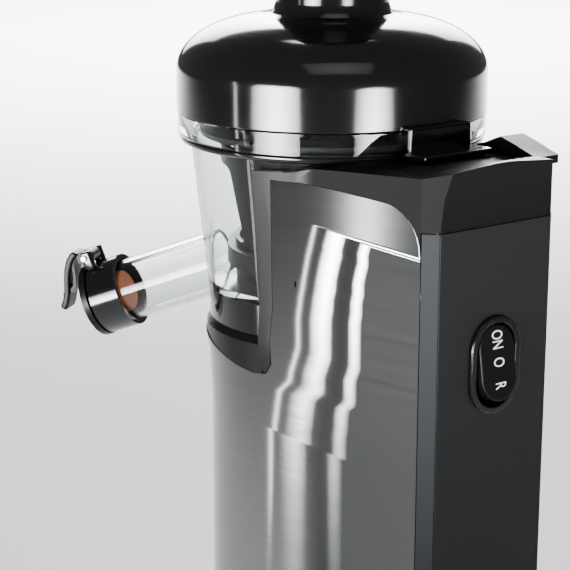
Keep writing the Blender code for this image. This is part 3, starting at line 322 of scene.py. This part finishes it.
def smoothed(obj, angle=32):
    """Smooth shading that leaves the large flat faces flat right up to their rounded edges."""
    alone(obj)
    bpy.ops.object.shade_smooth_by_angle(angle=math.radians(angle))
    even = obj.modifiers.new("even", "WEIGHTED_NORMAL")
    even.keep_sharp = True
    even.weight = 80
    bpy.ops.object.modifier_apply(modifier="even")
    return obj


def sliced(obj, heights):
    """Cuts level rings into a tall sheet, so that its shading doesn't run from end to end."""
    cuts = [(bpy.ops.mesh.bisect, {"plane_co": (0, 0, height), "plane_no": (0, 0, 1)}) for height in heights]
    return in_edit(obj, *cuts)


def shaded_like_whole(sheet, low, high):
    """Shades a notched sheet like the whole one: its level section drawn up to full height lends its normals."""
    smoothed(sheet, 30)
    bpy.ops.object.duplicate()
    whole = bpy.context.view_layer.objects.active
    section = {"plane_co": (0, 0, low + 4 * MM), "plane_no": (0, 0, 1), "clear_inner": True, "clear_outer": True}
    rise = {"TRANSFORM_OT_translate": {"value": (0, 0, high - low)}}
    in_edit(whole, (bpy.ops.mesh.bisect, section), (bpy.ops.mesh.extrude_region_move, rise),
            (bpy.ops.mesh.normals_make_consistent, {"inside": False}))
    smoothed(whole, 30)
    alone(sheet)
    lend = sheet.modifiers.new("whole", "DATA_TRANSFER")
    lend.object = whole
    lend.use_loop_data = True
    lend.data_types_loops = {"CUSTOM_NORMAL"}
    lend.loop_mapping = "POLYINTERP_NEAREST"
    bpy.ops.object.modifier_apply(modifier="whole")
    bpy.data.objects.remove(whole)
    return sheet


def finish_edges(obj, width, segments=3, angle=32):
    """Rounds every edge sharper than the angle and shades the rest smooth."""
    alone(obj)
    rounding = obj.modifiers.new("edges", "BEVEL")
    rounding.width = width
    rounding.segments = segments
    rounding.limit_method = "ANGLE"
    rounding.angle_limit = math.radians(angle)
    rounding.harden_normals = False
    bpy.ops.object.modifier_apply(modifier="edges")
    return smoothed(obj, 40)


def copy_of(node, name):
    """A merged copy of a CAD node, with its flat faces whole, ready to be refined."""
    alone(frame["nodes"][node])
    bpy.ops.object.duplicate()
    obj = bpy.context.view_layer.objects.active
    obj.name = name
    obj.data.name = name
    obj.parent = None
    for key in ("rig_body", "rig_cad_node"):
        if key in obj:
            del obj[key]
    if obj.data.has_custom_normals:
        bpy.ops.mesh.customdata_custom_splitnormals_clear()
    for face in obj.data.polygons:
        face.use_smooth = False
    in_edit(
        obj,
        (bpy.ops.mesh.remove_doubles, {"threshold": 0.000002}),
        (bpy.ops.mesh.dissolve_limited, {"angle_limit": math.radians(0.6)}),
    )
    return obj


def stands_for(obj, body, maker, slot, *nodes):
    paint(obj, maker)
    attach(obj, body)
    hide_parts(*nodes)
    return obj


def refined(node, body, maker, slot, edge=None, angle=32):
    """A CAD node shown as its merged copy with rounded edges."""
    obj = finish_edges(copy_of(node, node + "_finished"), edge or sizes().edge, angle=angle)
    return stands_for(obj, body, maker, slot, node)


def turned(name, stations, segments=96, closed=False):
    """A round piece grown from a circle: each station (radius, height) is one extrusion, moved and scaled."""
    bpy.ops.object.select_all(action="DESELECT")
    first = stations[0]
    bpy.ops.mesh.primitive_circle_add(
        vertices=segments, radius=first[0], fill_type="NOTHING" if closed else "NGON",
        location=(AXIS.x, AXIS.y, first[1]))
    obj = bpy.context.view_layer.objects.active
    obj.name = name
    obj.data.name = name
    bpy.ops.object.mode_set(mode="EDIT")
    bpy.ops.mesh.select_all(action="SELECT")
    radius, height = first
    for next_radius, next_height in stations[1:] + ([first] if closed else []):
        bpy.ops.mesh.extrude_region_move(TRANSFORM_OT_translate={"value": (0, 0, next_height - height)})
        grow = next_radius / radius
        bpy.ops.transform.resize(value=(grow, grow, 1), center_override=(AXIS.x, AXIS.y, next_height))
        radius, height = next_radius, next_height
    bpy.ops.mesh.select_all(action="SELECT")
    bpy.ops.mesh.remove_doubles(threshold=0.000005)
    bpy.ops.mesh.normals_make_consistent(inside=False)
    bpy.ops.object.mode_set(mode="OBJECT")
    bpy.ops.object.transform_apply(location=True, rotation=True, scale=True)
    return obj


def arc(x, y, radius, start, end, steps):
    """Points of an arc, in degrees, both ends included."""
    turn = [math.radians(start + (end - start) * i / steps) for i in range(steps + 1)]
    return [(x + radius * math.cos(a), y + radius * math.sin(a)) for a in turn]


class JuicerPiece:
    """What the operators that make pieces share."""

    bl_options = {"REGISTER", "UNDO"}


class JUICER_OT_body(JuicerPiece, bpy.types.Operator):
    """Steel wrap, hood, back panel, corner strips, seat, base plate and inlet"""

    bl_idname = "juicer.body"
    bl_label = "Body"

    def execute(self, context):
        low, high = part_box("steel_shell")
        rings = [low.z + (high.z - low.z) * i / 27 for i in range(1, 27)]
        steel = shaded_like_whole(sliced(copy_of("steel_shell", "steel_wrap"), rings), low.z, high.z)
        stands_for(steel, "base", brushed_stainless, "brushed_steel", "steel_shell")
        refined("top_cover", "base", satin_abs, "gloss_black", sizes().hood_edge, 24)
        refined("bowl_platform", "base", satin_abs, "gloss_black", 0.5 * MM, 24)
        refined("back_panel", "base", eroded_abs, "matt_black", 0.4 * MM)
        for side in ("left", "right"):
            strip = refined("corner_strip_" + side, "base", corner_satin_painted_lighter, "gloss_black", 0.3 * MM)
        refined("base_plate", "base", eroded_abs, "matt_black", 1 * MM, 50)
        refined("cord_inlet", "base", eroded_abs, "matt_black", 0.5 * MM, 40)
        for place in ("front_left", "front_right", "rear_left", "rear_right"):
            refined("foot_" + place, "base", rubber, "black_rubber", 1.2 * MM, 50)
        return {"FINISHED"}


def corner_satin_painted_lighter():
    # Satin-blasted black ABS strip, painted charcoal rather than black: a painted highlight for the light that it
    # catches at the corner.
    return satin_abs("satin_black_abs_painted_lighter", shades().strip, 0.46, 0.58)


class JUICER_OT_bowl(JuicerPiece, bpy.types.Operator):
    """Clear bowl with its spouts, black rim ring, black foot, seal and plug"""

    bl_idname = "juicer.bowl"
    bl_label = "Bowl"

    def execute(self, context):
        bowl = finish_edges(copy_of("juice_bowl", "clear_bowl"), 0.35 * MM, 2, 40)
        stands_for(bowl, "bowl", clear_copolyester, "clear_plastic", "juice_bowl")
        low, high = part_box("bowl_ring")
        outer = (high.x - low.x) / 2
        inner = outer - 3.2 * MM
        band = turned("rim_ring", [
            (inner, low.z), (outer - 1.2 * MM, low.z), (outer - 0.4 * MM, low.z + 0.5 * MM), (outer, low.z + 1.2 * MM),
            (outer, high.z - 0.5 * MM), (outer - 0.5 * MM, high.z), (inner, high.z)], closed=True)
        stands_for(smoothed(band, 50), "bowl", polished_abs, "gloss_black", "bowl_ring")
        refined("bowl_base", "bowl", polished_abs, "gloss_black", 0.7 * MM, 40)
        refined("bowl_shaft_seal", "bowl", silicone, "orange_silicone", 0.4 * MM)
        refined("pulp_plug", "bowl", silicone, "orange_silicone", 0.8 * MM, 40)
        return {"FINISHED"}


class JUICER_OT_basket(JuicerPiece, bpy.types.Operator):
    """Brush frame, strainer with its mesh, and the feed screw"""

    bl_idname = "juicer.basket"
    bl_label = "Strainer, brush and screw"

    def execute(self, context):
        refined("brush_frame", "brush", satin_abs, "matt_black", 0.5 * MM, 40)
        refined("strainer_frame", "bowl", moulded_grey, "grey_plastic", 0.4 * MM, 40)
        mesh = smoothed(copy_of("strainer_mesh", "strainer_sheet"), 50)
        stands_for(mesh, "bowl", perforated_steel, "machined_steel", "strainer_mesh")
        refined("auger", "auger", moulded_grey, "grey_plastic", 0.5 * MM, 40)
        return {"FINISHED"}


def block(name, low, high, bevel):
    """A rounded block between two corners, measured from the drive axis."""
    bpy.ops.object.select_all(action="DESELECT")
    low, high = AXIS + Vector(low), AXIS + Vector(high)
    bpy.ops.mesh.primitive_cube_add(size=1, location=(low + high) / 2)
    obj = bpy.context.view_layer.objects.active
    obj.name = name
    obj.data.name = name
    obj.scale = high - low
    bpy.ops.object.transform_apply(location=True, rotation=True, scale=True)
    return finish_edges(obj, bevel, 4)


class JUICER_OT_lid(JuicerPiece, bpy.types.Operator):
    """Domed lid with its feed chute and lock tab, the gasket and the pusher"""

    bl_idname = "juicer.lid"
    bl_label = "Lid and pusher"

    def execute(self, context):
        low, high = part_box("lid")
        rim = (high.x - low.x) / 2
        top = high.z
        skirt, crown = LID_EDGE + 18 * MM, LID_EDGE + 42 * MM
        chute, bore = 25 * MM, 22.5 * MM
        shoulder = chute + 4 * MM

        def dome(reach, rise, steps, start, end):
            return [(shoulder + reach * math.cos(t), skirt + rise * math.sin(t)) for t in [
                math.radians(start + (end - start) * i / steps) for i in range(steps + 1)]]

        outside = [(rim - 0.9 * MM, LID_EDGE), (rim - 0.2 * MM, LID_EDGE + 0.25 * MM), (rim, LID_EDGE + 0.9 * MM)]
        outside += dome(rim - shoulder, crown - skirt, 22, 0, 88)
        outside += [(chute + 2.2 * MM, crown + 0.8 * MM), (chute + 0.8 * MM, crown + 2.6 * MM), (chute, crown + 6 * MM)]
        outside += [(chute, top - 0.8 * MM), (chute - 0.7 * MM, top)]
        inside = [(bore + 0.6 * MM, top), (bore, top - 0.8 * MM), (bore, crown - 1.5 * MM)]
        inside += dome(rim - 2.5 * MM - shoulder, crown - 2.5 * MM - skirt, 16, 86, 0) + [(rim - 2.5 * MM, LID_EDGE)]
        lid = smoothed(turned("lid_shell", outside + inside, 128, closed=True), 35)
        stands_for(lid, "lid", polished_abs, "gloss_black", "lid")
        for tag, corner_a, corner_b, bevel in self.tab():
            piece = paint(block("lock_tab_" + tag, corner_a, corner_b, bevel), polished_abs)
            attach(piece, "lid")
        hub = turned("lid_hub", [
            (6.2 * MM, LID_EDGE - 9 * MM), (7.6 * MM, LID_EDGE - 9 * MM), (8 * MM, LID_EDGE - 8.4 * MM),
            (8 * MM, crown + 3 * MM), (6.2 * MM, crown + 3 * MM)], 40, closed=True)
        paint(smoothed(hub), polished_abs)
        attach(hub, "lid")
        bridge = paint(block("lid_bridge", (-23.4 * MM, -2.6 * MM, crown + 2.2 * MM), (23.4 * MM, 2.6 * MM, crown + 5 * MM),
                             0.6 * MM), polished_abs)
        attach(bridge, "lid")
        refined("lid_gasket", "gasket", rubber, "black_rubber", 0.6 * MM, 40)
        refined("lid_bushing", "lid", machined_steel, "machined_steel", 0.3 * MM, 40)
        self.pusher()
        return {"FINISHED"}

    def tab(self):
        """The lock tab: a plate over the rim, a web down its face, and a foot over the cover."""
        front = 67.6 * MM
        face = 72.4 * MM
        low = LID_EDGE - 8.5 * MM
        return [
            ("plate", (-18 * MM, front, LID_EDGE + 0.3 * MM), (15 * MM, face, LID_EDGE + 2 * MM), 0.7 * MM),
            ("web", (-18 * MM, 69.9 * MM, low), (15 * MM, face, LID_EDGE + 1.9 * MM), 0.6 * MM),
            ("foot", (-20 * MM, 71.2 * MM, low - 1.8 * MM), (17 * MM, 84 * MM, low + 0.8 * MM), 0.7 * MM),
        ]

    def pusher(self):
        low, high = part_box("pusher")
        cap = (high.x - low.x) / 2
        under = high.z - 14 * MM
        wall = cap - 7.1 * MM
        stations = [(wall - 2 * MM, under - 2 * MM), (wall - 2 * MM, low.z), (wall - 0.5 * MM, low.z),
                    (wall, low.z + 0.6 * MM), (wall, under), (cap - 1 * MM, under), (cap, under + 1 * MM)]
        stations += [(cap, high.z - 5 * MM)] + arc(cap - 5 * MM, high.z - 5 * MM, 5 * MM, 10, 90, 8)
        stations += [(cap - 8 * MM, high.z), (cap - 9 * MM, high.z - 1.6 * MM), (2 * MM, high.z - 2.2 * MM)]
        plug = turned("pusher_plug", stations, 80)
        in_edit(plug, (bpy.ops.mesh.fill_holes, {"sides": 80}), (bpy.ops.mesh.normals_make_consistent, {"inside": False}))
        stands_for(smoothed(plug, 35), "pusher", satin_abs, "matt_black", "pusher")


def joint_named(name, key):
    """A joint's place or axis."""
    return next(Vector(joint[key]) for joint in frame["joints"] if joint["name"] == name)


class JUICER_OT_spout(JuicerPiece, bpy.types.Operator):
    """Spout collar, hinge pin, flap with its lever, and the orange seal"""

    bl_idname = "juicer.spout"
    bl_label = "Spout flap"

    def execute(self, context):
        refined("spout_collar", "collar", polished_abs, "gloss_black", 0.5 * MM, 40)
        refined("flap_pin", "collar", machined_steel, "machined_steel", 0.3 * MM, 50)
        refined("spout_flap", "flap", satin_abs, "gloss_black", 0.5 * MM, 40)
        refined("flap_seal", "flap", silicone, "orange_silicone", 0.8 * MM, 50)
        along = joint_named("collar_pull", "axis")
        across = -joint_named("flap_hinge", "axis")
        hinge = joint_named("flap_hinge", "pos_m")
        self.bung(hinge, along, along.cross(across))
        self.lever(hinge, along, across)
        return {"FINISHED"}

    def bung(self, hinge, along, above):
        """The tapered silicone plug on the flap's inner face, which shows through the clear tube."""
        bore = 21.2 * MM
        plug = turned("seal_bung", [
            (6 * MM, 0.6 * MM), (8.4 * MM, 0.1 * MM), (9.3 * MM, 0.5 * MM), (9.6 * MM, 1.4 * MM), (11.4 * MM, 10.6 * MM),
            (11.4 * MM, 12.2 * MM)], 64)
        in_edit(plug, (bpy.ops.mesh.fill_holes, {"sides": 64}), (bpy.ops.mesh.normals_make_consistent, {"inside": False}))
        turn = along.to_track_quat("Z", "X").to_matrix().to_4x4()
        face = hinge - bore * above - 12.6 * MM * along
        plug.data.transform(Matrix.Translation(face) @ turn @ Matrix.Translation((-AXIS.x, -AXIS.y, 0)))
        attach(paint(smoothed(plug, 40), silicone), "flap")

    def lever(self, hinge, along, across):
        """The thumb lever: a broad curved blade drawn from the hinge, outwards and down."""
        above = along.cross(across)
        path = [(5.0, 3.6), (7.0, 2.6), (9.5, 0.6), (12.5, -3.6), (14.6, -8.4), (16.4, -13.2), (18.9, -17.4), (21.4, -20.2)]
        points = [hinge + MM * (s * along + h * above) for s, h in path]
        down = (along - above).normalized()
        turn = Matrix((across, across.cross(-down), down)).transposed().to_4x4()
        bpy.ops.object.select_all(action="DESELECT")
        bpy.ops.mesh.primitive_plane_add(size=1)
        blade = bpy.context.view_layer.objects.active
        blade.name = "flap_lever"
        blade.data.transform(Matrix.Translation(points[0]) @ turn @ Matrix.Diagonal((11 * MM, 3.4 * MM, 1, 1)))
        bpy.ops.object.mode_set(mode="EDIT")
        bpy.ops.mesh.select_all(action="SELECT")
        for here, there in zip(points, points[1:]):
            bpy.ops.mesh.extrude_region_move(TRANSFORM_OT_translate={"value": there - here})
        bpy.ops.object.mode_set(mode="OBJECT")
        in_edit(blade, (bpy.ops.mesh.normals_make_consistent, {"inside": False}))
        finish_edges(blade, 1.1 * MM, 4, 50)
        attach(paint(blade, satin_abs), "flap")


class JUICER_OT_switch(JuicerPiece, bpy.types.Operator):
    """Oval bezel and three-way rocker with its printed letters"""

    bl_idname = "juicer.switch"
    bl_label = "Switch"

    def execute(self, context):
        refined("switch_bezel", "base", polished_abs, "gloss_black", 0.9 * MM, 50)
        refined("switch_rocker", "rocker", satin_abs, "gloss_black", 1.2 * MM, 50)
        pivot = joint_named("rocker_tilt", "pos_m")
        tilt = Matrix.Rotation(math.radians(9), 4, "X")
        reading_down = Matrix(((0, -1, 0), (0, 0, 1), (-1, 0, 0))).to_4x4()
        for word, height in (("ON", 9.6 * MM), ("O", 0.2 * MM), ("R", -9.4 * MM)):
            self.letter(word, Matrix.Translation(pivot) @ tilt @ Matrix.Translation((0, 8.62 * MM, height)) @ reading_down)
        return {"FINISHED"}

    def letter(self, word, place):
        bpy.ops.object.select_all(action="DESELECT")
        bpy.ops.object.text_add()
        text = bpy.context.view_layer.objects.active
        text.name = "print_" + word
        text.data.body = word
        text.data.size = sizes().letter_height
        text.data.align_x = "CENTER"
        text.data.align_y = "CENTER"
        text.data.extrude = 0.03 * MM
        text.data.offset = -0.0 * MM
        text.data.resolution_u = 6
        bpy.ops.object.convert(target="MESH")
        text = bpy.context.view_layer.objects.active
        text.data.transform(place @ Matrix.Diagonal((0.62, 1, 1, 1)))
        in_edit(text, (bpy.ops.mesh.remove_doubles, {"threshold": 0.000001}),
                (bpy.ops.mesh.normals_make_consistent, {"inside": False}))
        paint(text, white_print)
        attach(text, "rocker")


class JUICER_OT_inside(JuicerPiece, bpy.types.Operator):
    """Finishes for the motor, gears and electrics inside the body"""

    bl_idname = "juicer.inside"
    bl_label = "Inner parts"

    def execute(self, context):
        groups = {
            machined_steel: ["idler_pin", "motor_can", "motor_end_bell", "motor_bearing", "motor_rotor", "output_bearing",
                             "layshaft_gear", "drive_shaft", "base_screw_front", "base_screw_left", "base_screw_right"],
            copper_wire: ["motor_winding"],
            board_green: ["control_board"],
            eroded_abs: ["gearbox_housing", "gearbox_cover", "lid_safety_switch", "switch_body"],
            satin_abs: ["capacitor"],
            moulded_grey: ["relay", "idler_gear"],
        }
        for maker, nodes in groups.items():
            for node in nodes:
                paint(frame["nodes"][node], maker)
        return {"FINISHED"}


def softbox(name, place, target, width, tall, power, spread):
    """A rectangular light at a place that faces a target, both in millimetres from the drive axis at the floor."""
    data = bpy.data.lights.new(name, "AREA")
    data.shape = "RECTANGLE"
    data.size = width * MM
    data.size_y = tall * MM
    data.energy = power
    data.spread = math.radians(spread)
    light = bpy.data.objects.new(name, data)
    bpy.context.scene.collection.objects.link(light)
    light.location = AXIS + MM * Vector(place)
    light.rotation_euler = Vector([t - p for t, p in zip(target, place)]).to_track_quat("-Z", "Y").to_euler()
    return light


class JUICER_OT_stage(JuicerPiece, bpy.types.Operator):
    """Pale floor, soft studio lights and the camera"""

    bl_idname = "juicer.stage"
    bl_label = "Stage"

    def execute(self, context):
        bpy.ops.object.select_all(action="DESELECT")
        bpy.ops.mesh.primitive_grid_add(x_subdivisions=8, y_subdivisions=8, size=16, location=(0, 0, -0.0002))
        floor = bpy.context.view_layer.objects.active
        floor.name = "floor"
        made, tree, shader = new_material("pale_floor", linear("f2f2f2"), 0.6)
        roughness_between(tree, shader, noise_on_object(tree, 3.0), 0.55, 0.65)
        floor.data.materials.append(made)
        self.world()
        softbox("strip_front", (302, -70, 150), (45, 60, 215), 14, 300, 0.013, 50)
        softbox("low_right", (733, 156, 150), (0, 0, 300), 500, 300, 1.9, 40)
        softbox("low_rear", (91, 744, 150), (0, 0, 330), 500, 300, 1.0, 30)
        softbox("key", (650, 1126, 2200), (0, 0, 200), 1600, 1200, 0.8, 70)
        softbox("rim_back", (-480, -640, 560), (0, 0, 250), 900, 450, 3.5, 60)
        softbox("floor_light", (-1662, -2128, 2600), (-1662, -2128.1, 0), 2600, 2600, 280, 70)
        self.camera(context)
        return {"FINISHED"}

    def world(self):
        world = bpy.data.worlds.new("studio")
        bpy.context.scene.world = world
        world.use_nodes = True
        sky = world.node_tree.nodes["Background"]
        sky.inputs["Color"].default_value = linear("ffffff")
        sky.inputs["Strength"].default_value = 0.13

    def camera(self, context):
        data = bpy.data.cameras.new("camera")
        data.sensor_width = 36
        data.lens = 109.1
        data.clip_end = 60
        eye = AXIS + Vector((470 * MM, 604 * MM, LID_EDGE + 120 * MM))
        look = Vector((-0.573, -0.779, -0.2546))
        camera = bpy.data.objects.new("camera", data)
        context.scene.collection.objects.link(camera)
        camera.location = eye
        camera.rotation_euler = look.to_track_quat("-Z", "Y").to_euler()
        context.scene.camera = camera


class JUICER_PT_panel(bpy.types.Panel):
    """The juicer's colours, sizes and pieces"""

    bl_idname = "JUICER_PT_panel"
    bl_label = "Slow juicer"
    bl_space_type = "VIEW_3D"
    bl_region_type = "UI"
    bl_category = "Juicer"

    def draw(self, context):
        for group in (context.scene.juicer_colours, context.scene.juicer_sizes):
            for name in group.__annotations__:
                self.layout.prop(group, name)
        for operator in OPERATORS:
            self.layout.operator(operator.bl_idname)


OPERATORS = (JUICER_OT_body, JUICER_OT_bowl, JUICER_OT_basket, JUICER_OT_lid, JUICER_OT_spout, JUICER_OT_switch,
             JUICER_OT_inside, JUICER_OT_stage)
CLASSES = (JuicerColours, JuicerSizes) + OPERATORS + (JUICER_PT_panel,)


def register():
    for made in CLASSES:
        bpy.utils.register_class(made)
    bpy.types.Scene.juicer_colours = bpy.props.PointerProperty(type=JuicerColours)
    bpy.types.Scene.juicer_sizes = bpy.props.PointerProperty(type=JuicerSizes)


def unregister():
    del bpy.types.Scene.juicer_sizes
    del bpy.types.Scene.juicer_colours
    for made in reversed(CLASSES):
        bpy.utils.unregister_class(made)


def main():
    register()
    for operator in OPERATORS:
        group, name = operator.bl_idname.split(".")
        getattr(getattr(bpy.ops, group), name)()


if __name__ == "__main__":
    main()
